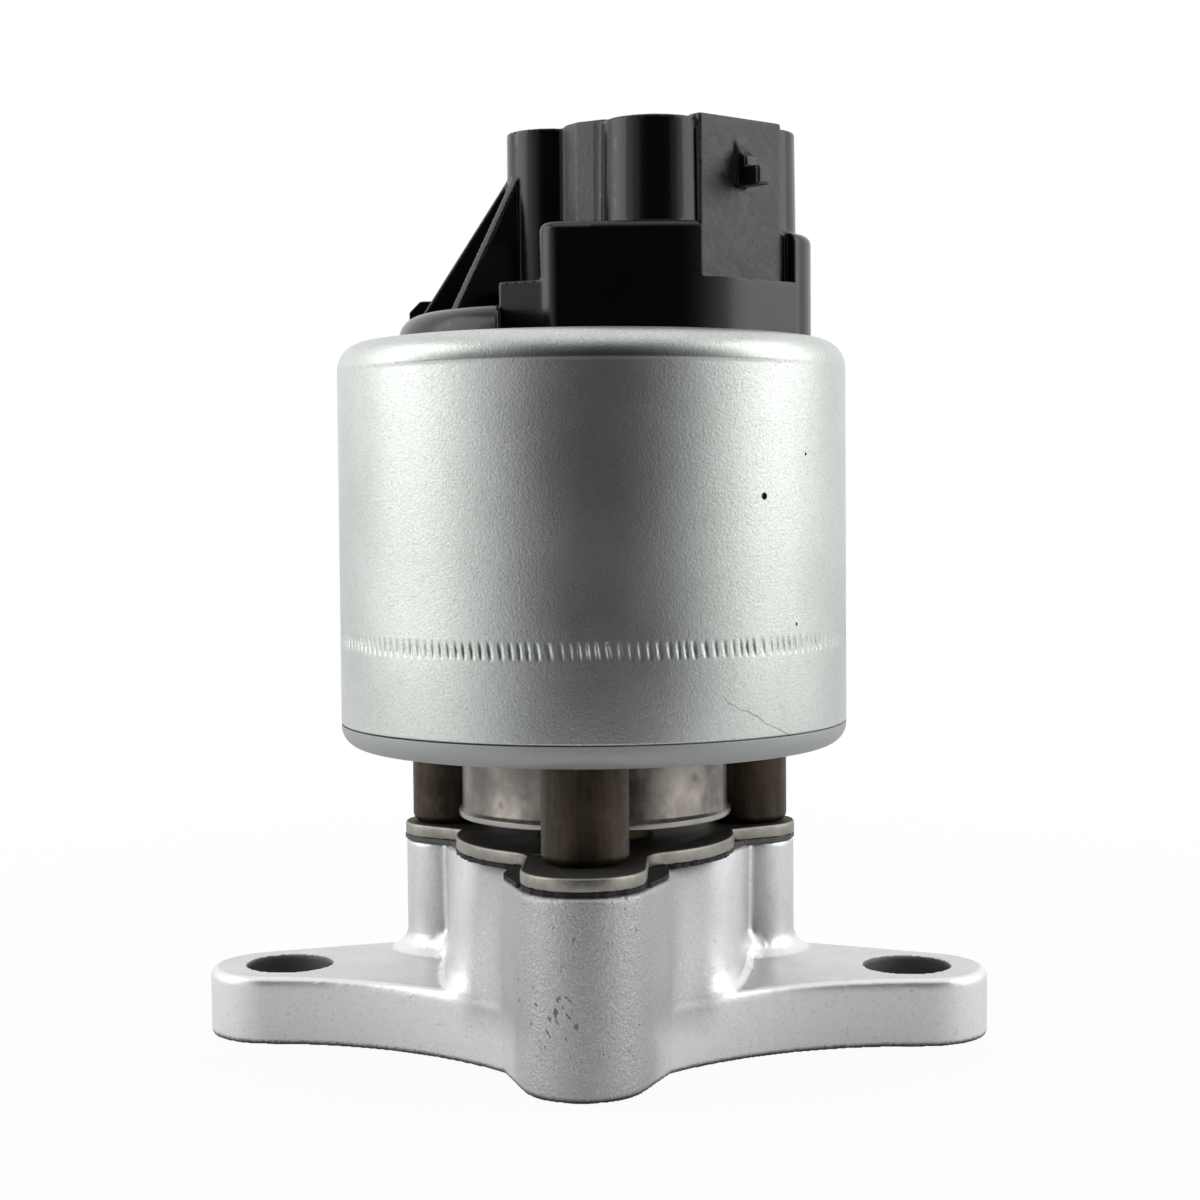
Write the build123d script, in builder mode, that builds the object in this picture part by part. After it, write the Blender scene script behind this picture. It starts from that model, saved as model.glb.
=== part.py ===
# Exhaust gas recirculation valve: a solenoid lifts a pintle off its seat in a bolted casting.
# Millimetres. The origin is on the valve axis at the mounting face, +Z is up, the two mounting
# holes lie on the X axis, and the connector stands towards the front, which is -Y.
from build123d import *
from math import cos, hypot, radians, sin
import os

os.makedirs("parts", exist_ok=True)

# Clearances
fit = 0.05                    # radial, between pieces that are pressed or located together
stem_clearance = 0.05         # radial, stem in its bush and seal
armature_clearance = 0.3      # radial, armature in its sleeve
screw_clearance = 0.2         # radial, screw in its holes
seat_gap = 0.3                # between the pintle and its seat when the valve is shut
cap_clearance = 0.2           # radial, cap in the mouth of the can
flange_clearance = 0.25       # radial, flange of the cap in the can
wire_clearance = 1.0          # radial, coil pins in the pole plate
cup_clearance = 1.5           # radial, stem in the shield cup
washer_clearance = 0.7        # radial, stem in the seal washer and the base plate

# Casting
hole_span = 70.0
mounting_hole_d = 9.5
ear_end_r = 7.5
ear_reach = 1.4               # centre of the round ear end beyond the hole
flange_t = 7.5
flange_edge_r = 1.0
casting_h = 20.5
screw_circle_r = 20.0
screw_angle = 30              # of the rear screws behind the X axis
column_r = 5.4
lobe_r = 6.6
lobe_y = 24.1
front_corner = (8.8, 19.2)    # where the flange edge meets the front lobe, as x and -y
body_foot = ((12.4, 15.7), (14.9, 13.6), (16.4, 8.4), (17.0, 1.2))
body_top = ((8.8, 16.2), (9.9, 9.5), (12.8, 5.3), (16.0, 0.0))
body_back_r = 13.6
chamber_r = 10.5
chamber_floor = 7.0
chamber_top = 15.0
throat_r = 7.5
port_y = 16.5
port_r = 5.5
port_wall = 3.5
port_roof = 3.0
passage_step = 1.0            # the passage to the port is wider than the port on each side
passage_top = 14.0
head_pocket_depth = 5.0

# Screws, gasket, plate and spacers
screw_d = 5.0
screw_head_d = 8.5
screw_head_h = 4.6
screw_socket = 4.0
thread_end_gap = 0.5          # end of each screw below the top of the base plate
gasket_t = 0.5
plate_t = 1.5
plate_r = 15.7
plate_lobe_r = 6.5
plate_lobe_y = 23.5
plate_ear_r = 5.5
plate_neck_r = 4.0
spacer_r = 4.6
spacer_h = 10.4
spacer_edge_r = 1.0

# Valve train
seat_r = 9.0
seat_bore_r = 6.0
seat_h = 5.0
seat_shoulder = 5.5
seat_face = 1.2
seat_angle = 45
head_r = 7.0
head_rim = 1.4
head_back = 2.4
nose_h = 2.5
nose_r = 3.2
stem_r = 2.5
stem_end_r = 2.0
armature_rest = 42.0
armature_h = 18.0
guide_bore_r = 9.05
guide_wall = 0.4
clip_r = 2.9
clip_t = 1.0
bush_r = 4.5
bush_flange_r = 6.5
bush_flange_t = 1.0
bush_top = 28.0
bush_chamfer = 0.5

# Shield cup
cup_r = 14.9
cup_lip_r = 15.3
cup_lip_h = 0.9
cup_rim = 24.8
cup_t = 0.7
cup_corner_r = 1.4

# Solenoid
can_r = 28.25
can_wall = 2.0
can_top = 77.4
can_lip_t = 1.5
can_mouth_r = 21.6
can_shoulder_r = 3.0
base_plate_t = 2.5
base_plate_edge_r = 2.3
register_h = 1.5
seal_r = 5.5
seal_t = 2.0
seal_pocket = 2.5
pole_wall = 1.5
lower_pole_h = 13.0
upper_pole_nose = 12.0
pole_chamfer = 0.9
pole_plate_t = 4.0
spring_seat_t = 2.0
spring_seat_r = 6.4
bobbin_wall = 1.4
bobbin_flange_t = 1.6
bobbin_clearance = 1.25       # radial, bobbin in the can
winding_step = 1.6            # winding below the rim of the bobbin
spring_wire = 1.2
spring_r = 7.4
spring_turns = 4
coil_pin_r = 0.6
coil_pin_y = 8.6
coil_pin_x = 13.0

# Cap
cap_flange_t = 3.0
dome_h = 3.0                  # top of the cap above the can
cap_edge_r = 2.6
apron_left = -7.7             # in front the cap is cut down to the lip of the can
apron_back = ((-9.2, -12.3), (-2.0, -11.0), (13.0, -8.0))
chamber_wall_r = 18.3
chamber_front = 10.8          # flat front of the sensor chamber, before the axis
board_clearance = 0.7
cap_roof = 1.8
seal_groove_depth = 1.8
seal_groove_h = 2.0
collar_h = 11.9               # above the can
collar_front = 15.2
collar_left = -4.7
collar_corner = 13.0
collar_right = (22.6, -6.0)
collar_edge_r = 2.2
collar_rim_r = 1.0
collar_wall = 1.55
notch_h = 5.9                 # down from the collar
notch_left = -8.75
notch_right = 7.3
notch_depth = 5.0
step_block = ((-9.2, -12.3), (-4.5, -14.2), (-2.0, -4.0), (-7.0, -3.0))
step_h = 5.8                  # above the can
socket_angle = 43.5
socket_centre = (12.3, -1.8)
socket_half = 6.9
socket_end_r = 5.8
socket_wall = 1.5
socket_h = 23.35              # above the can
socket_depth = 14.75
socket_draft = 0.6
lock_plate_left = -5.9
lock_plate_right = 6.4
lock_plate_proud = 0.45
lock_plate_rise = 0.4         # above the socket
tab_half = 0.85
tab_drop = 1.6                # top of the tab below the lock plate
tab_h = 6.0
tab_nib_h = 2.1
tab_reach = 3.7
tab_ramp = 1.8
tab_bow = 0.6                 # how far the upper flank of the tab bows out
post_at = (-4.5, 1.3)
post_r = 4.8
post_h = 23.4                 # above the can
post_bore_r = 3.4
web_corners = ((-2.5, -3.4), (-1.2, -5.2), (1.8, -6.9), (7.0, -6.0), (8.0, 0.0), (-3.0, 4.5))
gusset_t = 1.3
gussets = ((140, 15.1), (180, 15.1), (220, 13.6))  # direction in degrees and reach
gusset_drop = 5.0             # top of the gussets below the post
gusset_foot = 0.4             # depth of each foot in the top of the cap
lug_inner = -17.5
lug_outer = -20.8
lug_back = 5.0
lug_t = 2.0
lug_h = 2.3                   # above the cap
lug_slant = 1.3

# Position sensor
cover_t = 1.5
board_t = 1.5
terminal_pitch = 3.2
terminal_count = 5
terminal_w = 1.5
terminal_t = 0.64
terminal_h = 7.5              # above the floor of the socket
terminal_tail_h = 1.3         # length below the board
rod_r = 1.2
rod_foot_r = 1.6
rod_foot_h = 1.2
rod_gap = 0.1
spigot_r = 0.8
spigot_h = 3.0
carrier_r = 3.05
carrier_drop = 1.6            # foot of the carrier below the roof of the chamber
carrier_h = 6.0
carrier_flat = 2.0
contact_t = 0.25
contact_w = 2.4
contact_h = 4.0
contact_gap = 0.15
track_w = 4.0
track_t = 0.6
track_h = 11.4
track_x = 3.1
contact_bend = 3.0            # height of the finger's bend above its foot
sensor_wire = 0.5
sensor_spring_r = 2.2
sensor_turns = 6

# Heights that follow from the stack
plate_z = casting_h + gasket_t
plate_top = plate_z + plate_t
solenoid_z = plate_top + spacer_h
rim_z = solenoid_z + base_plate_t
register_z = rim_z + register_h
can_inner_r = can_r - can_wall
cap_flange_r = can_inner_r - flange_clearance
passage_r = port_r + passage_step
cap_z = can_top - can_lip_t - cap_flange_t
pole_plate_z = cap_z - pole_plate_t
spring_seat_z = cap_z - spring_seat_t
armature_top = armature_rest + armature_h
bobbin_flange_r = can_inner_r - bobbin_clearance
winding_r = bobbin_flange_r - winding_step
cap_top = can_top + dome_h
collar_top = can_top + collar_h
notch_floor = collar_top - notch_h
step_top = can_top + step_h
socket_top = can_top + socket_h
socket_floor = socket_top - socket_depth
lock_plate_top = socket_top + lock_plate_rise
tab_top = lock_plate_top - tab_drop
tab_bottom = tab_top - tab_h
terminal_tip = socket_floor + terminal_h
post_top = can_top + post_h
gusset_top = post_top - gusset_drop
lug_top = cap_top + lug_h
chamber_roof = cap_top - cap_roof
carrier_z = chamber_roof - carrier_drop
board_z = chamber_roof - board_t
terminal_tail = board_z - terminal_tail_h
guide_r = guide_bore_r + guide_wall
pole_bore_r = guide_r + fit
pole_r = pole_bore_r + pole_wall
ear_x = hole_span / 2 + ear_reach

# Plan positions
front_screw = (0, -screw_circle_r)
right_screw = (
    screw_circle_r * cos(radians(screw_angle)),
    screw_circle_r * sin(radians(screw_angle)),
)
left_screw = (-right_screw[0], right_screw[1])
screws = {"front": front_screw, "left": left_screw, "right": right_screw}
rear_screws = (left_screw, right_screw)
socket_plane = Plane(
    origin=(*socket_centre, 0),
    x_dir=(cos(radians(socket_angle)), sin(radians(socket_angle)), 0),
    z_dir=(0, 0, 1),
)


def finish(piece, name):
    """Label a finished piece and write it."""
    piece.part.label = name
    export_step(piece.part, "parts/" + name + ".step")


def hull(*circles):
    """Add the outline stretched round some circles, each given as a centre and a radius."""
    with BuildLine() as rims:
        for centre, radius in circles:
            CenterArc(centre, radius, 0, 360)
    make_hull(rims.edges())


def body_outline(corners):
    """Add the outline of the body, alike on both sides, from its right side, front to back."""
    right = [(x, -y) for x, y in corners]
    left = [(-x, y) for x, y in right]
    with BuildLine() as rim:
        Line(left[0], right[0])
        Spline(*right)
        Line(right[-1], left[-1])
        Spline(*reversed(left))
    make_face(rim.edges())


def chamber_plan(clearance=0):
    """Add the plan of the sensor chamber, a disc with a flat front, or of a piece that fits in it."""
    radius = chamber_wall_r - clearance
    front = chamber_front - clearance
    Circle(radius)
    with Locations((0, -front - radius)):
        Rectangle(2 * radius, 2 * radius, mode=Mode.SUBTRACT)


# Casting: flange with two ears, body that narrows upwards, front lobe and rear columns
body_side = (right_screw[0], -right_screw[1])
with BuildPart() as valve_base:
    with BuildSketch() as flange_outline:
        hull(((-ear_x, 0), ear_end_r), (left_screw, column_r))
        hull(((ear_x, 0), ear_end_r), (right_screw, column_r))
        hull((left_screw, column_r), (right_screw, column_r), ((0, port_y), port_r + port_wall))
        with BuildLine():
            right_sweep = TangentArc(
                (ear_x, -ear_end_r), (front_corner[0], -front_corner[1]), tangent=(-1, 0)
            )
            left_sweep = TangentArc(
                (-ear_x, -ear_end_r), (-front_corner[0], -front_corner[1]), tangent=(1, 0)
            )
            Line(right_sweep @ 1, left_sweep @ 1)
            Polyline(left_sweep @ 0, left_screw, right_screw, right_sweep @ 0)
        make_face()
    extrude(amount=flange_t)
    fillet(valve_base.edges().group_by(Axis.Z)[-1], flange_edge_r)
    with BuildSketch():
        body_outline((front_corner, *body_foot, body_side))
    extrude(amount=flange_t)
    with BuildSketch(Plane.XY.offset(flange_t)):
        body_outline((front_corner, *body_foot, body_side))
    with BuildSketch(Plane.XY.offset(casting_h)):
        body_outline((*body_top, body_side))
    loft(ruled=True)
    with BuildSketch():
        with BuildLine() as lobe:
            CenterArc((0, -lobe_y), lobe_r, 0, 360)
            Line((-front_corner[0], -front_corner[1]), (front_corner[0], -front_corner[1]))
            Line((-body_top[0][0], -body_top[0][1]), (body_top[0][0], -body_top[0][1]))
        make_hull(lobe.edges())
    extrude(amount=casting_h)
    with BuildSketch(Plane.XY.offset(flange_t)):
        Circle(body_back_r)
        with Locations(*rear_screws):
            Circle(column_r)
    extrude(amount=casting_h - flange_t)
    with BuildSketch(Plane.XY.offset(flange_t)):
        with Locations((0, port_y)):
            Circle(port_r + port_wall)
    extrude(amount=passage_top + port_roof - flange_t)
    with BuildSketch() as seat_pocket:
        Circle(seat_r + fit)
    extrude(amount=seat_shoulder, mode=Mode.SUBTRACT)
    with BuildSketch(Plane.XY.offset(seat_shoulder)):
        Circle(throat_r)
    extrude(amount=chamber_floor - seat_shoulder, mode=Mode.SUBTRACT)
    with BuildSketch(Plane.XY.offset(chamber_floor)):
        Circle(chamber_r)
    extrude(amount=chamber_top - chamber_floor, mode=Mode.SUBTRACT)
    with BuildSketch(Plane.XY.offset(chamber_floor)):
        with Locations((0, port_y / 2)):
            Rectangle(2 * passage_r, port_y)
        with Locations((0, port_y)):
            Circle(passage_r)
    extrude(amount=passage_top - chamber_floor, mode=Mode.SUBTRACT)
    with BuildSketch():
        with Locations((0, port_y)):
            Circle(port_r)
    extrude(amount=chamber_floor, mode=Mode.SUBTRACT)
    with BuildSketch(Plane.XY.offset(chamber_top)):
        Circle(bush_r + fit)
    extrude(amount=casting_h - chamber_top, mode=Mode.SUBTRACT)
    with BuildSketch():
        with Locations(*screws.values()):
            Circle(screw_d / 2 + screw_clearance)
    extrude(amount=casting_h, mode=Mode.SUBTRACT)
    with BuildSketch():
        with Locations(*screws.values()):
            Circle(screw_head_d / 2 + screw_clearance)
    extrude(amount=head_pocket_depth, mode=Mode.SUBTRACT)
    with BuildSketch():
        with Locations((-hole_span / 2, 0), (hole_span / 2, 0)):
            Circle(mounting_hole_d / 2)
    extrude(amount=flange_t, mode=Mode.SUBTRACT)
finish(valve_base, "valve_base")

# Seat ring, pressed up against the shoulder of the inlet, with a 45 degree sealing face
with BuildPart() as valve_seat:
    with BuildSketch(Plane.XZ):
        with BuildLine():
            Polyline(
                (seat_bore_r, seat_shoulder - seat_h),
                (seat_r, seat_shoulder - seat_h),
                (seat_r, seat_shoulder),
                (seat_bore_r + seat_face, seat_shoulder),
                (seat_bore_r, seat_shoulder - seat_face),
                close=True,
            )
        make_face()
    revolve(axis=Axis.Z)
finish(valve_seat, "valve_seat")

# Pintle: flow nose, 45 degree head, stem, and a thinner end that carries the armature
cone_z = seat_shoulder - seat_face
head_z = cone_z + head_r - seat_bore_r + seat_gap / cos(radians(seat_angle))
with BuildPart() as pintle:
    with BuildSketch(Plane.XZ):
        with BuildLine():
            Polyline(
                (0, cone_z - nose_h),
                (nose_r, cone_z - nose_h),
                (head_r - (head_z - cone_z), cone_z),
                (head_r, head_z),
                (head_r, head_z + head_rim),
                (stem_r, head_z + head_rim + head_back),
                (stem_r, armature_rest),
                (stem_end_r, armature_rest),
                (stem_end_r, armature_top),
                (0, armature_top),
                close=True,
            )
        make_face()
    revolve(axis=Axis.Z)
finish(pintle, "pintle")

# Bush that guides the stem: pressed through the plate into the roof of the chamber
with BuildPart() as stem_bearing:
    with BuildSketch(Plane.XY.offset(chamber_top)):
        Circle(bush_r)
    extrude(amount=bush_top - chamber_top)
    with BuildSketch(Plane.XY.offset(plate_top)):
        Circle(bush_flange_r)
    extrude(amount=bush_flange_t)
    with BuildSketch(Plane.XY.offset(chamber_top)):
        Circle(stem_r + stem_clearance)
    extrude(amount=bush_top - chamber_top, mode=Mode.SUBTRACT)
    bush_rim = stem_bearing.edges().group_by(Axis.Z)[-1].sort_by(SortBy.RADIUS)[-1]
    chamfer(bush_rim, bush_chamfer)
finish(stem_bearing, "stem_bearing")

# Gasket and steel plate share one outline: a disc with a front lobe and two rear ears
for name, z, thickness, hole_r in (
    ("base_gasket", casting_h, gasket_t, bush_r + 2 * fit),
    ("flange_plate", plate_z, plate_t, bush_r + fit),
):
    with BuildPart() as flat_piece:
        with BuildSketch(Plane.XY.offset(z)):
            Circle(plate_r)
            hull(((0, -plate_lobe_y), plate_lobe_r), ((0, 0), plate_lobe_r))
            for centre in rear_screws:
                hull((centre, plate_ear_r), ((0, 0), plate_ear_r))
        extrude(amount=thickness)
        necks = [
            edge for edge in flat_piece.edges().filter_by(Axis.Z)
            if abs(hypot(edge.center().X, edge.center().Y) - plate_r) < fit
        ]
        fillet([edge for edge in necks if edge.center().Y < 0], plate_neck_r)
        with BuildSketch(Plane.XY.offset(z)):
            Circle(hole_r)
            with Locations(*screws.values()):
                Circle(screw_d / 2 + screw_clearance)
        extrude(amount=thickness, mode=Mode.SUBTRACT)
    finish(flat_piece, name)

# Spacers with a rolled lower edge, and the long screws that clamp the stack from below
for name, centre in screws.items():
    with BuildPart() as spacer:
        with BuildSketch(Plane.XY.offset(plate_top)):
            with Locations(centre):
                Circle(spacer_r)
        extrude(amount=spacer_h)
        fillet(spacer.edges().group_by(Axis.Z)[0], spacer_edge_r)
        with BuildSketch(Plane.XY.offset(plate_top)):
            with Locations(centre):
                Circle(screw_d / 2 + screw_clearance)
        extrude(amount=spacer_h, mode=Mode.SUBTRACT)
    finish(spacer, "spacer_" + name)

    with BuildPart() as screw:
        with BuildSketch(Plane.XY.offset(head_pocket_depth - screw_head_h)):
            with Locations(centre):
                Circle(screw_head_d / 2)
        extrude(amount=screw_head_h)
        with BuildSketch(Plane.XY.offset(head_pocket_depth)):
            with Locations(centre):
                Circle(screw_d / 2)
        extrude(amount=register_z - thread_end_gap - head_pocket_depth)
        with BuildSketch(Plane.XY.offset(head_pocket_depth - screw_head_h)):
            with Locations(centre):
                RegularPolygon(screw_socket / 2, 6, major_radius=False)
        extrude(amount=screw_head_h / 2, mode=Mode.SUBTRACT)
    finish(screw, "screw_" + name)

# Shield cup: an inverted pressed cup with a rolled rim, open downwards round the stem
with BuildPart() as shield_cup:
    with BuildSketch(Plane.XZ):
        with BuildLine():
            Polyline(
                (stem_r + cup_clearance, solenoid_z),
                (cup_r, solenoid_z),
                (cup_r, cup_rim + cup_lip_h),
                (cup_lip_r, cup_rim + cup_lip_h),
                (cup_lip_r, cup_rim),
                (cup_r - cup_t, cup_rim),
                (cup_r - cup_t, solenoid_z - cup_t),
                (stem_r + cup_clearance, solenoid_z - cup_t),
                close=True,
            )
        make_face()
    revolve(axis=Axis.Z)
    fillet(shield_cup.edges().group_by(Axis.Z)[-1].sort_by(SortBy.RADIUS)[-1], cup_corner_r / 2)
finish(shield_cup, "shield_cup")

# Lower plate of the solenoid: rolled rim, register inside the can, pocket for the stem seal
with BuildPart() as solenoid_base_plate:
    with BuildSketch(Plane.XY.offset(solenoid_z)):
        Circle(can_r)
    extrude(amount=base_plate_t)
    fillet(solenoid_base_plate.edges().group_by(Axis.Z)[0], base_plate_edge_r)
    with BuildSketch(Plane.XY.offset(rim_z)):
        Circle(can_inner_r - fit)
    extrude(amount=register_h)
    with BuildSketch(Plane.XY.offset(solenoid_z)):
        Circle(stem_r + washer_clearance)
        with Locations(*screws.values()):
            Circle(screw_d / 2 + fit)
    extrude(amount=register_z - solenoid_z, mode=Mode.SUBTRACT)
    with BuildSketch(Plane.XY.offset(register_z - seal_pocket)):
        Circle(seal_r + fit)
    extrude(amount=seal_pocket, mode=Mode.SUBTRACT)
finish(solenoid_base_plate, "solenoid_base_plate")

with BuildPart() as stem_seal:
    with BuildSketch(Plane.XY.offset(register_z - seal_pocket)):
        Circle(seal_r)
        Circle(stem_r + stem_clearance, mode=Mode.SUBTRACT)
    extrude(amount=seal_t)
finish(stem_seal, "stem_seal")

with BuildPart() as seal_washer:
    with BuildSketch(Plane.XY.offset(register_z - seal_pocket + seal_t)):
        Circle(seal_r)
        Circle(stem_r + washer_clearance, mode=Mode.SUBTRACT)
    extrude(amount=seal_pocket - seal_t)
finish(seal_washer, "seal_washer")

# Can: a deep drawn shell with a rounded shoulder and a lip turned in over the cap
with BuildPart() as solenoid_can:
    with BuildSketch(Plane.XY.offset(rim_z)):
        Circle(can_r)
    extrude(amount=can_top - rim_z)
    fillet(solenoid_can.edges().group_by(Axis.Z)[-1], can_shoulder_r)
    with BuildSketch(Plane.XY.offset(rim_z)):
        Circle(can_inner_r)
    extrude(amount=can_top - can_lip_t - rim_z, mode=Mode.SUBTRACT)
    with BuildSketch(Plane.XY.offset(rim_z)):
        Circle(can_mouth_r)
    extrude(amount=can_top - rim_z, mode=Mode.SUBTRACT)
finish(solenoid_can, "solenoid_can")

# Magnetic circuit: lower sleeve, upper pole with its plate, and the armature guide between
with BuildPart() as lower_pole_sleeve:
    with BuildSketch(Plane.XY.offset(register_z)):
        Circle(pole_r)
        Circle(pole_bore_r, mode=Mode.SUBTRACT)
    extrude(amount=lower_pole_h)
    chamfer(lower_pole_sleeve.edges().group_by(Axis.Z)[-1].sort_by(SortBy.RADIUS)[-1], pole_chamfer)
finish(lower_pole_sleeve, "lower_pole_sleeve")

with BuildPart() as upper_pole_piece:
    with BuildSketch(Plane.XY.offset(pole_plate_z - upper_pole_nose)):
        Circle(pole_r)
    extrude(amount=upper_pole_nose)
    with BuildSketch(Plane.XY.offset(pole_plate_z)):
        Circle(can_inner_r - fit)
    extrude(amount=pole_plate_t)
    with BuildSketch(Plane.XY.offset(pole_plate_z - upper_pole_nose)):
        Circle(pole_bore_r)
    extrude(amount=spring_seat_z - pole_plate_z + upper_pole_nose, mode=Mode.SUBTRACT)
    with BuildSketch(Plane.XY.offset(spring_seat_z)):
        Circle(spring_seat_r)
    extrude(amount=spring_seat_t, mode=Mode.SUBTRACT)
    with BuildSketch(Plane.XY.offset(pole_plate_z)):
        with Locations((coil_pin_x, coil_pin_y), (coil_pin_x, -coil_pin_y)):
            Circle(coil_pin_r + wire_clearance)
    extrude(amount=pole_plate_t, mode=Mode.SUBTRACT)
finish(upper_pole_piece, "upper_pole_piece")

with BuildPart() as guide_sleeve:
    with BuildSketch(Plane.XY.offset(register_z)):
        Circle(guide_r)
        Circle(guide_bore_r, mode=Mode.SUBTRACT)
    extrude(amount=spring_seat_z - register_z)
finish(guide_sleeve, "guide_sleeve")

# Bobbin between the lower plate and the pole plate, and its winding
bobbin_bore_r = pole_r + fit
bobbin_tube_r = bobbin_bore_r + bobbin_wall
with BuildPart() as coil_bobbin:
    with BuildSketch(Plane.XY.offset(register_z)):
        Circle(bobbin_tube_r)
    extrude(amount=pole_plate_z - register_z)
    for z in (register_z, pole_plate_z - bobbin_flange_t):
        with BuildSketch(Plane.XY.offset(z)):
            Circle(bobbin_flange_r)
        extrude(amount=bobbin_flange_t)
    with BuildSketch(Plane.XY.offset(register_z)):
        Circle(bobbin_bore_r)
    extrude(amount=pole_plate_z - register_z, mode=Mode.SUBTRACT)
finish(coil_bobbin, "coil_bobbin")

with BuildPart() as coil_winding:
    with BuildSketch(Plane.XY.offset(register_z + bobbin_flange_t)):
        Circle(winding_r)
        Circle(bobbin_tube_r + fit, mode=Mode.SUBTRACT)
    extrude(amount=pole_plate_z - register_z - 2 * bobbin_flange_t)
finish(coil_winding, "coil_winding")

for number, side in enumerate((1, -1), start=1):
    with BuildPart() as coil_pin:
        with BuildSketch(Plane.XY.offset(pole_plate_z)):
            with Locations((coil_pin_x, side * coil_pin_y)):
                Circle(coil_pin_r)
        extrude(amount=board_z - pole_plate_z)
    finish(coil_pin, "coil_pin_" + str(number))

# Armature on the stem shoulder, held by a clip in its recess
with BuildPart() as armature:
    with BuildSketch(Plane.XY.offset(armature_rest)):
        Circle(guide_bore_r - armature_clearance)
        Circle(stem_end_r + fit, mode=Mode.SUBTRACT)
    extrude(amount=armature_h)
    with BuildSketch(Plane.XY.offset(armature_top - clip_t)):
        Circle(clip_r + fit)
    extrude(amount=clip_t, mode=Mode.SUBTRACT)
finish(armature, "armature")

with BuildPart() as armature_clip:
    with BuildSketch(Plane.XY.offset(armature_top - clip_t)):
        Circle(clip_r)
        Circle(stem_end_r + fit, mode=Mode.SUBTRACT)
    extrude(amount=clip_t)
finish(armature_clip, "armature_clip")


def helical_spring(mean_r, wire, bottom, top, turns, centre=(0, 0)):
    """A compression spring of round wire between two flat seats."""
    height = top - bottom - wire
    with BuildPart() as spring:
        with BuildLine() as coil:
            Helix(height / turns, height, mean_r, center=(*centre, bottom + wire / 2))
        with BuildSketch(Plane(origin=coil.line @ 0, z_dir=coil.line % 0)):
            Circle(wire / 2)
        sweep(path=coil.line, is_frenet=True)
    return spring


return_spring = helical_spring(spring_r, spring_wire, armature_top, spring_seat_z, spring_turns)
finish(return_spring, "return_spring")

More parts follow.
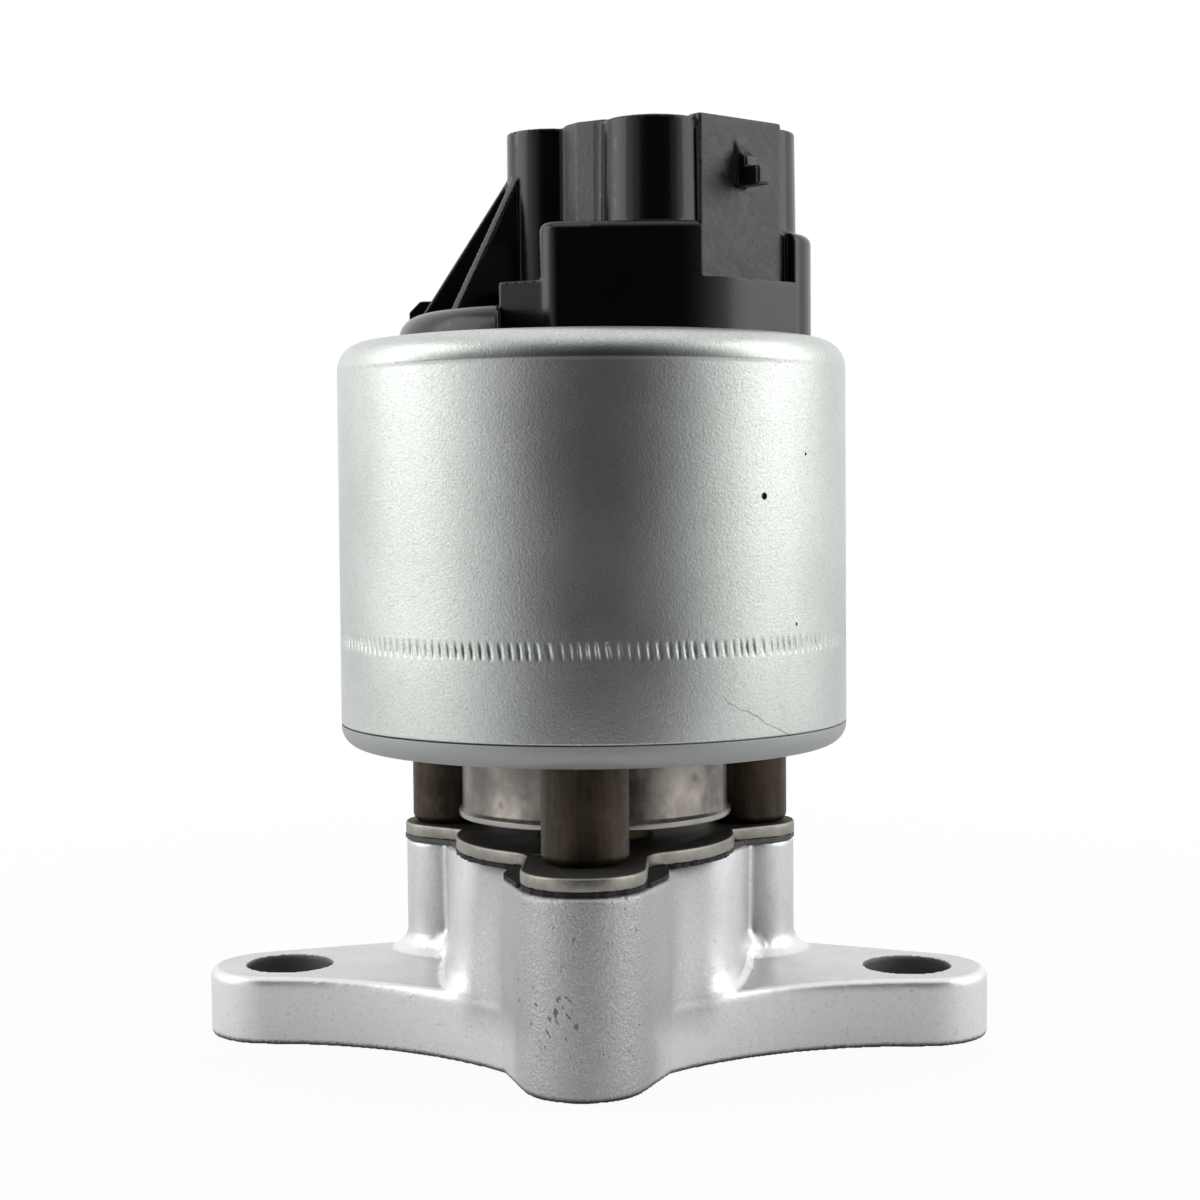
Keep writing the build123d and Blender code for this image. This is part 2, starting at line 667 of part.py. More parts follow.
# Cap: round body under the lip of the can, collar, connector socket, post, web and gussets
groove_z = cap_z + (cap_flange_t - seal_groove_h) / 2
with BuildPart() as sensor_cap:
    with BuildSketch(Plane.XZ):
        with BuildLine():
            Polyline(
                (0, cap_z),
                (cap_flange_r, cap_z),
                (cap_flange_r, groove_z),
                (cap_flange_r - seal_groove_depth, groove_z),
                (cap_flange_r - seal_groove_depth, groove_z + seal_groove_h),
                (cap_flange_r, groove_z + seal_groove_h),
                (cap_flange_r, cap_z + cap_flange_t),
                (can_mouth_r - cap_clearance, cap_z + cap_flange_t),
                (can_mouth_r - cap_clearance, cap_top),
                (0, cap_top),
                close=True,
            )
        make_face()
    revolve(axis=Axis.Z)
    fillet(sensor_cap.edges().group_by(Axis.Z)[-1], cap_edge_r)
    with BuildSketch(Plane.XY.offset(can_top)):
        with BuildLine():
            Polyline(
                (apron_left, -can_r),
                *apron_back,
                (can_r, collar_right[1]),
                (can_r, -can_r),
                close=True,
            )
        make_face()
    extrude(amount=cap_top - can_top, mode=Mode.SUBTRACT)
    with BuildSketch(Plane.XY.offset(can_top)) as collar_outline:
        with BuildLine():
            Polyline(
                (collar_left, -collar_front),
                (collar_corner, -collar_front),
                collar_right,
                socket_centre,
                (collar_left, socket_centre[1]),
                close=True,
            )
        make_face()
        left_corner = collar_outline.vertices().group_by(Axis.X)[0].sort_by(Axis.Y)[0]
        fillet(left_corner, collar_edge_r)
    extrude(amount=collar_top - can_top)
    with BuildSketch(socket_plane.offset(can_top)):
        SlotCenterToCenter(2 * socket_half, 2 * (socket_end_r + collar_wall))
    extrude(amount=collar_top - can_top)
    fillet(sensor_cap.edges().group_by(Axis.Z)[-1], collar_rim_r)
    notch_mid = (notch_left + notch_right) / 2
    notch_y = -(socket_end_r + lock_plate_proud / 2) - notch_depth / 2
    with BuildSketch(socket_plane.offset(notch_floor)):
        with Locations((notch_mid, notch_y)):
            Rectangle(notch_right - notch_left, notch_depth)
    extrude(amount=collar_top - notch_floor, mode=Mode.SUBTRACT)
    with BuildSketch(Plane.XY.offset(can_top)):
        with BuildLine():
            Polyline(*step_block, close=True)
        make_face()
    extrude(amount=step_top - can_top)
    with BuildSketch(socket_plane.offset(can_top)):
        SlotCenterToCenter(2 * socket_half, 2 * socket_end_r)
    extrude(amount=socket_top - can_top, taper=socket_draft)
    with BuildSketch(socket_plane.offset(notch_floor)):
        with Locations((lock_plate_left, 0)):
            Rectangle(
                lock_plate_right - lock_plate_left,
                socket_end_r + lock_plate_proud,
                align=(Align.MIN, Align.MAX),
            )
    extrude(amount=lock_plate_top - notch_floor)
    with BuildSketch(Plane.XY.offset(cap_top)):
        with BuildLine():
            Polyline(*web_corners, close=True)
        make_face()
    extrude(amount=lock_plate_top - cap_top)
    with BuildSketch(Plane.XY.offset(cap_top)):
        with Locations(post_at):
            Circle(post_r)
    extrude(amount=post_top - cap_top)
    tab_root = socket_end_r + lock_plate_proud
    tab_plane = Plane(
        origin=socket_plane.from_local_coords((tab_half, -tab_root, 0)),
        x_dir=-socket_plane.y_dir,
        z_dir=-socket_plane.x_dir,
    )
    with BuildSketch(tab_plane):
        with BuildLine():
            Polyline(
                (tab_ramp, tab_bottom + 2 * tab_nib_h - collar_rim_r),
                (tab_ramp, tab_bottom + tab_nib_h),
                (tab_reach, tab_bottom + tab_nib_h),
                (tab_reach, tab_bottom),
                (-collar_rim_r, tab_bottom),
                (-collar_rim_r, tab_top),
                (0, tab_top),
            )
            ThreePointArc(
                (0, tab_top),
                (tab_bow, (tab_top + tab_bottom + 2 * tab_nib_h) / 2 - collar_rim_r),
                (tab_ramp, tab_bottom + 2 * tab_nib_h - collar_rim_r),
            )
        make_face()
    extrude(amount=2 * tab_half)
    for angle, reach in gussets:
        gusset_plane = Plane(
            origin=(*post_at, 0),
            x_dir=(cos(radians(angle)), sin(radians(angle)), 0),
            z_dir=(sin(radians(angle)), -cos(radians(angle)), 0),
        )
        with BuildSketch(gusset_plane):
            with BuildLine():
                Polyline(
                    (0, cap_top - gusset_foot),
                    (reach, cap_top - gusset_foot),
                    (post_r, gusset_top),
                    (0, gusset_top),
                    close=True,
                )
            make_face()
        extrude(amount=gusset_t / 2, both=True)
    with BuildSketch(Plane.XZ.offset(-lug_back)):
        with BuildLine():
            Polyline(
                (lug_inner, cap_top - cap_edge_r),
                (lug_inner, lug_top),
                (lug_outer + lug_slant, lug_top),
                (lug_outer, lug_top - lug_slant),
                (lug_outer, cap_top - cap_edge_r),
                close=True,
            )
        make_face()
    extrude(amount=lug_t)
    with BuildSketch(socket_plane.offset(socket_floor)):
        SlotCenterToCenter(2 * socket_half, 2 * (socket_end_r - socket_wall))
    extrude(amount=lock_plate_top - socket_floor, mode=Mode.SUBTRACT)
    with BuildSketch(Plane.XY.offset(cap_z)):
        chamber_plan()
    extrude(amount=chamber_roof - cap_z, mode=Mode.SUBTRACT)
    with BuildSketch(Plane.XY.offset(chamber_roof)):
        with Locations(post_at):
            Circle(post_bore_r)
    extrude(amount=post_top - cap_roof - chamber_roof, mode=Mode.SUBTRACT)
    with BuildSketch(Plane.XY.offset(chamber_roof)):
        with Locations((post_at[0] + (track_x + track_t + fit) / 2, post_at[1])):
            Rectangle(track_x + track_t + fit, track_w + 2 * fit)
    extrude(amount=track_h + fit, mode=Mode.SUBTRACT)
    with BuildSketch(socket_plane.offset(chamber_roof)):
        with GridLocations(terminal_pitch, 0, terminal_count, 1):
            Rectangle(terminal_w + 2 * fit, terminal_t + 2 * fit)
    extrude(amount=socket_floor - chamber_roof, mode=Mode.SUBTRACT)
finish(sensor_cap, "sensor_cap")

with BuildPart() as cap_seal:
    with BuildSketch(Plane.XZ):
        with Locations((cap_flange_r - seal_groove_depth / 2, groove_z + seal_groove_h / 2)):
            Circle(seal_groove_depth / 2 - fit)
    revolve(axis=Axis.Z)
finish(cap_seal, "cap_seal")

# Cover and board of the sensor chamber
with BuildPart() as sensor_cover:
    with BuildSketch(Plane.XY.offset(cap_z)):
        chamber_plan(fit)
        with Locations(post_at):
            Circle(rod_r + armature_clearance, mode=Mode.SUBTRACT)
        with Locations((coil_pin_x, coil_pin_y), (coil_pin_x, -coil_pin_y)):
            Circle(coil_pin_r + fit, mode=Mode.SUBTRACT)
    extrude(amount=cover_t)
finish(sensor_cover, "sensor_cover")

with BuildPart() as terminal_board:
    with BuildSketch(Plane.XY.offset(board_z)):
        chamber_plan(board_clearance)
        with Locations(post_at):
            Circle(post_bore_r + armature_clearance, mode=Mode.SUBTRACT)
    extrude(amount=board_t)
    with BuildSketch(socket_plane.offset(board_z)):
        with GridLocations(terminal_pitch, 0, terminal_count, 1):
            Rectangle(terminal_w + 2 * fit, terminal_t + 2 * fit)
    extrude(amount=board_t, mode=Mode.SUBTRACT)
finish(terminal_board, "terminal_board")

# Blade terminals with bevelled tips
for number in range(terminal_count):
    along = (number - (terminal_count - 1) / 2) * terminal_pitch
    with BuildPart() as terminal:
        with BuildSketch(socket_plane.offset(terminal_tail)):
            with Locations((along, 0)):
                Rectangle(terminal_w, terminal_t)
        extrude(amount=terminal_tip - terminal_tail)
        chamfer(terminal.edges().group_by(Axis.Z)[-1], length=terminal_t / 3)
    finish(terminal, "terminal_" + str(number + 1))

# Sensor train: rod on the armature, carrier in the post, contact against the track
rod_z = armature_top + rod_gap
with BuildPart() as sensor_plunger:
    with BuildSketch(Plane.XY.offset(rod_z)):
        with Locations(post_at):
            Circle(rod_foot_r)
    extrude(amount=rod_foot_h)
    with BuildSketch(Plane.XY.offset(rod_z)):
        with Locations(post_at):
            Circle(rod_r)
    extrude(amount=carrier_z - rod_z)
    with BuildSketch(Plane.XY.offset(carrier_z)):
        with Locations(post_at):
            Circle(spigot_r)
    extrude(amount=spigot_h)
finish(sensor_plunger, "sensor_plunger")

with BuildPart() as wiper_carrier:
    with BuildSketch(Plane.XY.offset(carrier_z)):
        with Locations(post_at):
            Circle(carrier_r)
        with Locations((post_at[0] + carrier_flat + carrier_r, post_at[1])):
            Rectangle(2 * carrier_r, 2 * carrier_r, mode=Mode.SUBTRACT)
    extrude(amount=carrier_h)
    with BuildSketch(Plane.XY.offset(carrier_z)):
        with Locations(post_at):
            Circle(spigot_r + fit)
    extrude(amount=spigot_h, mode=Mode.SUBTRACT)
finish(wiper_carrier, "wiper_carrier")

contact_x = post_at[0] + carrier_flat
finger_x = post_at[0] + track_x - contact_gap
contact_z = carrier_z + (carrier_h - contact_h) / 2
with BuildPart() as wiper_contact:
    with BuildSketch(Plane.XZ.offset(-post_at[1])):
        with BuildLine():
            Polyline(
                (contact_x, contact_z),
                (contact_x + contact_t, contact_z),
                (contact_x + contact_t, contact_z + contact_h / 2),
                (finger_x, contact_z + contact_bend),
                (contact_x + 2 * contact_t, contact_z + contact_h),
                (contact_x, contact_z + contact_h),
                close=True,
            )
        make_face()
    extrude(amount=contact_w / 2, both=True)
finish(wiper_contact, "wiper_contact")

with BuildPart() as resistor_track:
    with BuildSketch(Plane.XY.offset(chamber_roof)):
        with Locations((post_at[0] + track_x + track_t / 2, post_at[1])):
            Rectangle(track_t, track_w)
    extrude(amount=track_h)
finish(resistor_track, "resistor_track")

sensor_spring = helical_spring(
    sensor_spring_r, sensor_wire, carrier_z + carrier_h, post_top - cap_roof, sensor_turns, post_at
)
finish(sensor_spring, "sensor_spring")
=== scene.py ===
# Dressed model of the exhaust gas recirculation valve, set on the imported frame.
# Sizes are written in millimetres, and MM turns them into metres where a mesh is made.
from math import asin, cos, degrees, pi, radians, sin, tan

import bmesh
import bpy
from mathutils import Matrix, Vector, noise
from mathutils.bvhtree import BVHTree


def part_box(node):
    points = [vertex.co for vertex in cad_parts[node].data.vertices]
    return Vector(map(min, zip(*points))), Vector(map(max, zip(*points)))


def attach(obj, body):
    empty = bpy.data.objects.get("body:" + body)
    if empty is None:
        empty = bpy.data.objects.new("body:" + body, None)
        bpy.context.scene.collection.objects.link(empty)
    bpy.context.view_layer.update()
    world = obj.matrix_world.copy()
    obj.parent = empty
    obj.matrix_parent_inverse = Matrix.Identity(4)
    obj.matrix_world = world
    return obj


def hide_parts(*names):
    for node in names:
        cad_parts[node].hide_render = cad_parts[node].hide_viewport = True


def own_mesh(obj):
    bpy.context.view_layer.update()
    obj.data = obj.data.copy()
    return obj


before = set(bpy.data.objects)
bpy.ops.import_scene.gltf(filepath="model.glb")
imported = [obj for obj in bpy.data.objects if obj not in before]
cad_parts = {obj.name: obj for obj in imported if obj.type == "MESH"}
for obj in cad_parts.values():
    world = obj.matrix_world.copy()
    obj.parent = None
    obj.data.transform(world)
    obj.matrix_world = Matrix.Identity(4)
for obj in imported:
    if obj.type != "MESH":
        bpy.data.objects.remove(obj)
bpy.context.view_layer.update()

MM = 0.001


def node_box(node):
    """Lowest and highest corner of a CAD node, in millimetres."""
    low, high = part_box(node)
    return Vector(low) / MM, Vector(high) / MM


# Camera: the photograph is taken from 243 mm in front, a little above the middle of the can
CAMERA_AT = (12.63, -242.95, 60.31)
CAMERA_HEADING = (-0.0519, 0.9987)
CAMERA_DOWN = 2.72
CAMERA_RIGHT = 0.18
CAMERA_ROLL = 0.485
CAMERA_LENS = 64.99
CAMERA_SENSOR = 36.0

# Studio
FLOOR_FRONT = -100.0          # front edge of the floor, which keeps the front of the can dark
FLOOR_WIDE = 1500.0
FLOOR_DEEP = 1200.0
FLOOR_LEVEL = -0.05
DARK_TURN = 7.0               # turn of the dark part of the room to the right, in degrees
LAMP_UP = 290.0
LAMP_WIDE = 420.0
LAMP_TALL = 500.0
LAMP_POWER = 1.05
ROOM_DARK = 0.02              # light of the dark part of the room
WHITE = (1.0, 1.0, 1.0)

LATHE_STEPS = 192
WIRE_PITCH = 0.45

# Solenoid can
can_low, can_high = node_box("solenoid_can")
CAN_R = can_high.x
CAN_FOOT = can_low.z
CAN_TOP = can_high.z
CAN_LIP = CAN_TOP - 1.47
CAN_WALL_R = CAN_R - 0.12      # the wall stands back under the shoulder
CAN_MOUTH_R = 21.6
CAN_INNER_R = CAN_R - 2.0
CAN_SHOULDER_R = 3.0
CAN_BEND = CAN_TOP - CAN_SHOULDER_R
CRIMP_Z = 44.9
CRIMP_TALL = 2.0
CRIMP_DEPTH = 0.14
CRIMP_COUNT = 176
CRIMP_SLANT = 0.13
CRIMP_STEPS = 10
CRIMP_ROWS = 16
CRIMP_WANDER = 0.5
CAN_SPECKS = (
    ((18.66, -21.05, 60.27), 0.46),
    ((23.15, -16.19, 64.6), 0.22),
    ((22.09, -17.61, 46.97), 0.22),
)
HAIRLINE = (14.5, 21.2, 39.7, -0.62)   # scratch near the foot: from x, to x, height, slope

# Shield cup under the solenoid
cup_low, cup_high = node_box("shield_cup")
CUP_TOP = cup_high.z - 0.02
CUP_RIM = cup_low.z
CUP_LIP_R = cup_high.x
CUP_R = CUP_LIP_R - 0.4
CUP_T = 0.7
CUP_HOLE_R = 4.0

# Gasket between the casting and the plate
gasket_low, gasket_high = node_box("base_gasket")
plate_low, plate_high = node_box("flange_plate")
GASKET_STEPS = 720
GASKET_HOLE_R = 4.65
GASKET_BACK = 0.3             # how far the torn edge stays back from the edge of the casting
GASKET_IN = 0.1               # and from the edge of the plate, where casting and plate are flush
GASKET_TEAR = 0.3
GASKET_LEDGE = (0.9, 1.6)     # ledge of the casting below and above which the gasket covers it
SCREW_HOLE_R = 2.7
SCREWS = ("screw_front", "screw_left", "screw_right")

# Casting
CASTING_GRID = 0.3            # voxel size, and rounds of smoothing
CASTING_SMOOTH = 2
COLUMN_R = 5.4
COLUMN_FOOT = 7.5
FOOT_FILLET = 1.5
FILLET_GRID = 0.5
FILLET_REACH = 2.6            # how far from a column, and from its foot, the fillet is kept
FILLET_RISE = 3.0
STUD_AT = 35.0
STUD_HOLE_R = 4.75
LOBE_Y = -22.0                # the front lobe has a coarser skin
NICKS_AT = (-2.6, -30.0, 8.4)    # slanting nicks on the front lobe
NICKS_REACH = 6.0
NICKS_LEAN = 40.0

# Cap moulding
CAP_GRID = 0.2
CAP_SMOOTH = 4

# Lock plate on the connector: the way it faces, its distance from the axis and its foot
LOCK_FACES = (0.688, -0.725)
LOCK_OUT = 15.9
LOCK_FOOT = 83.5
LOCK_SIDES = (1.4, 14.4)
WEB_SIDES = (-3.1, 0.8)       # from x, to x
WEB_FOOT = 88.5

# Front corner of the collar, which is turned in a wide round
COLLAR_TOP = CAN_TOP + 11.9
COLLAR_RIM_R = 1.0
COLLAR_FOOT_R = 0.3
COLLAR_MIDDLE = (6.57, 0.80)
COLLAR_R = 16.0
COLLAR_TURN = (-90.0, -46.2)


def at(*millimetres):
    """A point given in millimetres, as a vector in metres."""
    return Vector(millimetres) * MM


def share(value):
    """The value, held between 0 and 1."""
    return min(1.0, max(0.0, value))


# Shader maths

class Value:
    """A socket of a node tree, so that shader maths reads as ordinary expressions."""

    def __init__(self, tree, socket):
        self.tree = tree
        self.socket = socket

    def math(self, operation, *values):
        return self.tree.node("Math", {"operation": operation}, dict(enumerate(values)))

    def __add__(self, other):
        return self.math("ADD", self, other)

    def __radd__(self, other):
        return self.math("ADD", other, self)

    def __sub__(self, other):
        return self.math("SUBTRACT", self, other)

    def __rsub__(self, other):
        return self.math("SUBTRACT", other, self)

    def __mul__(self, other):
        return self.math("MULTIPLY", self, other)

    def __rmul__(self, other):
        return self.math("MULTIPLY", other, self)

    def __abs__(self):
        return self.math("ABSOLUTE", self)

    def root(self):
        return self.math("SQRT", self)

    def larger(self, other):
        return self.math("MAXIMUM", self, other)

    def rise(self, low, high):
        """0 below low, 1 above high and smooth between; reversed when low is above high."""
        return self.tree.node(
            "MapRange",
            {"interpolation_type": "SMOOTHSTEP"},
            {"Value": self, "From Min": low, "From Max": high},
        )


class Tree:
    """A tree of shader nodes that is being written."""

    def __init__(self, nodes):
        self.nodes = nodes
        nodes.nodes.clear()

    def link(self, value, socket):
        self.nodes.links.new(value.socket, socket)

    def feed(self, socket, value):
        """Link a value to a socket, or set the socket to a number or a colour."""
        if isinstance(value, Value):
            self.link(value, socket)
        elif isinstance(value, tuple) and len(socket.default_value) == 4:
            socket.default_value = (*value, 1.0)
        else:
            socket.default_value = value

    def node(self, kind, settings=None, inputs=None, output=0):
        """Add a node: its settings first, then the values or links of its sockets."""
        node = self.nodes.nodes.new("ShaderNode" + kind)
        for name, value in (settings or {}).items():
            setattr(node, name, value)
        for name, value in (inputs or {}).items():
            self.feed(node.inputs[name], value)
        return Value(self, node.outputs[output])

    def parts(self, vector):
        """The x, y and z of a vector."""
        split = self.node("SeparateXYZ", inputs={"Vector": vector}).socket.node
        return [Value(self, socket) for socket in split.outputs]

    def distance(self, place, point):
        return self.node(
            "VectorMath", {"operation": "DISTANCE"}, {0: place, 1: point}, output="Value"
        )


class Finish(Tree):
    """The procedural finish of one material: its nodes and its surface shader."""

    def __init__(self, name):
        self.material = bpy.data.materials.new(name)
        self.material.use_nodes = True
        super().__init__(self.material.node_tree)
        self.output = self.nodes.nodes.new("ShaderNodeOutputMaterial")
        self.shader = self.nodes.nodes.new("ShaderNodeBsdfPrincipled")
        self.nodes.links.new(self.shader.outputs[0], self.output.inputs["Surface"])
        metres = self.node("TexCoord", output="Object")
        self.place = self.node(
            "VectorMath", {"operation": "SCALE"}, {"Vector": metres, "Scale": 1 / MM}
        )

    def surface(self, sockets):
        for name, value in sockets.items():
            self.feed(self.shader.inputs[name], value)
        return self.material

    def axes(self):
        """Place of the shaded point in millimetres, as separate x, y and z."""
        return self.parts(self.place)

    def edges(self, low, high):
        """1 on outer edges and 0 elsewhere; low and high say how sharp an edge has to be."""
        return self.node("NewGeometry", output="Pointiness").rise(low, high)

    def tilt(self):
        """1 on a face that looks up, 0 on a wall and -1 on a face that looks down."""
        return self.parts(self.node("NewGeometry", output="Normal"))[2]

    def stretched(self, x=1.0, y=1.0, z=1.0, lean=0.0):
        """The place divided along each axis, for streaks; lean turns them about y, in degrees."""
        leaning = self.node(
            "VectorRotate",
            {"rotation_type": "Y_AXIS"},
            {"Vector": self.place, "Angle": radians(lean)},
        )
        return self.node(
            "VectorMath", {"operation": "MULTIPLY"}, {0: leaning, 1: (1 / x, 1 / y, 1 / z)}
        )

    def cloud(self, size, detail=2.0, rough=0.5, place=None):
        """Soft variation from 0 to 1, in patches about size millimetres across."""
        return self.node(
            "TexNoise",
            inputs={
                "Vector": place or self.place,
                "Scale": 1 / size,
                "Detail": detail,
                "Roughness": rough,
            },
        )

    def specks(self, size, amount):
        """Small spots, 1 at their middle, where amount is the share of cells that hold one."""
        cell = {"Vector": self.place, "Scale": 1 / size}
        reach = self.node("TexVoronoi", inputs=cell)
        chance = self.node("TexVoronoi", inputs=cell, output="Color")
        pick = self.node("SeparateColor", inputs={"Color": chance}).rise(1 - amount, 1.02 - amount)
        return reach.rise(0.32, 0.12) * pick

    def mix(self, factor, first, second):
        """Blend two colours."""
        return self.node(
            "Mix", {"data_type": "RGBA"}, {0: factor, 6: first, 7: second}, output=2
        )

    def bump(self, height, depth):
        """A bump whose full height is depth millimetres."""
        return self.node("Bump", inputs={"Height": height, "Distance": depth * MM})


# Finishes

def metal(name, dark, light, patch, rough, grain, grain_depth, spots):
    """A plain metal: two tones in soft patches, a fine grain and a few dark spots."""
    finish = Finish(name)
    patches = finish.cloud(patch, detail=4.0, rough=0.6)
    tone = finish.mix(patches.rise(0.3, 0.7), dark, light)
    shade = tuple(0.3 * part for part in dark)
    return finish.surface({
        "Base Color": finish.mix(finish.specks(1.4, spots) * 0.7, tone, shade),
        "Metallic": 1.0,
        "Roughness": patches * 0.14 + (rough - 0.07),
        "Normal": finish.bump(finish.cloud(grain), grain_depth),
    })


def plated_can():
    """Satin zinc plate: greenish grey, sandy grain, a few dark specks, one hairline and a dark
    joint at the foot; painted shade darkens that joint on the left and the shoulder bend in front.
    """
    finish = Finish("satin_plated_can")
    x, y, z = finish.axes()
    patches = finish.cloud(13.0, detail=4.0, rough=0.6)
    peel = finish.cloud(0.8, detail=3.0, rough=0.6)
    sand = finish.cloud(0.26, detail=2.0, rough=0.6)
    rim = z.rise(CAN_FOOT + 0.1, CAN_FOOT - 0.1)
    tone = finish.mix(patches.rise(0.3, 0.7), (0.60, 0.63, 0.60), (0.67, 0.70, 0.67))
    tone = finish.mix(sand.rise(0.56, 0.72) * 0.42, tone, (0.33, 0.34, 0.33))
    tone = finish.mix(sand.rise(0.44, 0.3) * 0.4, tone, (0.88, 0.90, 0.88))
    tone = finish.mix(peel.rise(0.58, 0.72) * 0.2, tone, (0.38, 0.40, 0.38))
    first, last, height, slope = HAIRLINE
    line = abs(z - height - (x - first) * slope + (finish.cloud(2.5) - 0.5) * 1.2)
    scratch = line.rise(0.1, 0.03) * y.rise(0.0, -5.0)
    scratch = scratch * x.rise(first - 0.5, first + 0.5) * x.rise(last + 0.5, last - 0.5)
    # Dark joint at the foot, partly a real joint and partly painted shade in its gap, heavier on
    # the left
    joint = abs(z - CAN_FOOT - 0.05).rise(0.16, 0.04) * (x.rise(8.0, -14.0) * 0.5 + 0.3)
    # Painted shade along the shoulder bend, on the front only
    painted_bend_shade = z.rise(CAN_BEND - 0.3, CAN_BEND - 0.05) * z.rise(CAN_BEND + 1.2, CAN_BEND)
    painted_bend_shade = painted_bend_shade * y.rise(-19.0, -26.0)
    tone = finish.mix(scratch * 0.5 + joint + painted_bend_shade * 0.75, tone, (0.10, 0.11, 0.10))
    tone = finish.mix(rim, tone, (0.43, 0.45, 0.44))
    speck = 0.0
    for point, radius in CAN_SPECKS:
        speck = finish.distance(finish.place, point).rise(radius, radius * 0.6) + speck
    return finish.surface({
        "Base Color": finish.mix(speck, tone, (0.01, 0.01, 0.01)),
        "Metallic": 1.0 - rim * 0.45,
        "Roughness": patches * 0.1 + sand * 0.12 + 0.29 + speck * 0.4 + rim * 0.2,
        "Normal": finish.bump(sand + peel * 0.35, 0.03),
    })


def cast_silver():
    """Die-cast body under a sparkling silver coat, coarser and nicked on the front lobe; painted
    highlights and painted light on the flange, painted shade on the body, lobe, stud holes and
    bottom edge.
    """
    finish = Finish("cast_silver")
    x, y, z = finish.axes()
    patches = finish.cloud(7.0, detail=4.0, rough=0.6)
    sand = finish.cloud(0.3, detail=3.0, rough=0.7)
    skin = finish.cloud(1.6, detail=3.0)
    lobe = y.rise(LOBE_Y, LOBE_Y - 3.0)
    pits = finish.cloud(1.0).rise(0.70, 0.74) * (lobe * 0.6 + 0.2)
    near = finish.distance(finish.place, NICKS_AT).rise(NICKS_REACH, NICKS_REACH * 0.4)
    nicks = finish.cloud(0.5, place=finish.stretched(z=2.6, lean=NICKS_LEAN))
    nicks = ((nicks + near * 0.06).rise(0.70, 0.74) * near).larger(pits)

    # Painted highlight on the edge of the flange and the feet of the columns, and painted light
    # that makes the walls of the flange paler
    tilt = finish.tilt()
    painted_edge_highlight = tilt.rise(0.2, 0.5) * tilt.rise(0.99, 0.9) * abs(x).rise(12.4, 13.8)
    painted_edge_highlight = painted_edge_highlight * z.rise(COLUMN_FOOT - 2.0, COLUMN_FOOT - 1.3)
    painted_edge_highlight = painted_edge_highlight * z.rise(COLUMN_FOOT + 2.2, COLUMN_FOOT + 1.2)
    wall = tilt.rise(0.5, 0.2) * z.rise(COLUMN_FOOT + 1.0, COLUMN_FOOT) * (1.0 - lobe)

    # Painted shade that greys the body and the front lobe, painted shade inside the stud holes and
    # a painted contact shadow along the bottom edge
    body = z.rise(COLUMN_FOOT - 5.5, COLUMN_FOOT + 0.5) * abs(x).rise(14.8, 12.0)
    side = body * (1.0 - lobe)
    body = body.larger(y.rise(LOBE_Y + 2.0, LOBE_Y) * abs(x - 0.6).rise(8.5, 4.5))
    across = abs(x) - STUD_AT
    painted_bore_shade = (across * across + y * y).root().rise(STUD_HOLE_R + 0.35, STUD_HOLE_R + 0.1)
    foot = (z + sand * 0.8).rise(1.1, 0.6)

    tone = finish.mix(patches.rise(0.3, 0.7), (0.66, 0.67, 0.68), (0.74, 0.75, 0.76))
    tone = finish.mix(wall, tone, (0.86, 0.87, 0.88))
    tone = finish.mix(body, tone, (0.49, 0.50, 0.51))
    tone = finish.mix(sand.rise(0.54, 0.70) * (lobe * 0.3 + 0.3), tone, (0.29, 0.29, 0.30))
    tone = finish.mix(sand.rise(0.44, 0.28) * 0.5, tone, (0.85, 0.86, 0.87))
    tone = finish.mix(painted_edge_highlight * 0.8, tone, (0.95, 0.95, 0.96))
    tone = finish.mix(nicks * 0.8, tone, (0.10, 0.10, 0.10))
    tone = finish.mix(painted_bore_shade.larger(foot) * 0.92, tone, (0.085, 0.085, 0.078))
    return finish.surface({
        "Base Color": tone,
        "Metallic": 0.85 - painted_bore_shade * 0.5 - side * 0.3 - wall * (1.0 - side) * 0.2,
        "Roughness": sand * 0.12 + patches * 0.08 + 0.31 - painted_edge_highlight * 0.08 + painted_bore_shade * 0.2 + side * 0.12,
        "Normal": finish.bump(sand * (lobe * 3.0 + 0.7) + skin * 1.4 - nicks * 2.0, 0.035),
    })


def rusty_spacer():
    """Olive brown oxide with worn vertical streaks."""
    finish = Finish("brown_oxide_steel")
    streaks = finish.cloud(1.1, detail=4.0, rough=0.65, place=finish.stretched(z=9.0))
    patches = finish.cloud(2.4, detail=3.0)
    tone = finish.mix(streaks.rise(0.3, 0.7), (0.026, 0.020, 0.013), (0.068, 0.050, 0.031))
    tone = finish.mix(patches.rise(0.5, 0.75) * 0.5, tone, (0.10, 0.078, 0.052))
    return finish.surface({
        "Base Color": tone,
        "Metallic": 0.75,
        "Roughness": streaks * 0.2 + 0.38,
        "Normal": finish.bump(streaks, 0.03),
    })


def heat_stained_cup():
    """Bright pressed steel with faint straw and violet stains and a painted highlight along its
    lip.
    """
    finish = Finish("heat_stained_steel")
    stains = finish.cloud(4.5, detail=3.0, rough=0.6)
    lines = finish.cloud(0.5, place=finish.stretched(z=8.0))
    z = finish.axes()[2]
    tone = finish.mix(stains.rise(0.35, 0.65), (0.13, 0.118, 0.108), (0.24, 0.222, 0.195))
    tone = finish.mix(finish.specks(2.3, 0.12) * 0.5, tone, (0.08, 0.065, 0.06))
    # Painted highlight, lighter towards the rim of the lip
    tone = finish.mix(z.rise(CUP_RIM + 0.9, CUP_RIM + 0.4) * 0.6, tone, (0.52, 0.50, 0.46))
    return finish.surface({
        "Base Color": tone,
        "Metallic": 1.0,
        "Roughness": stains * 0.16 + 0.22,
        "Normal": finish.bump(lines, 0.012),
    })


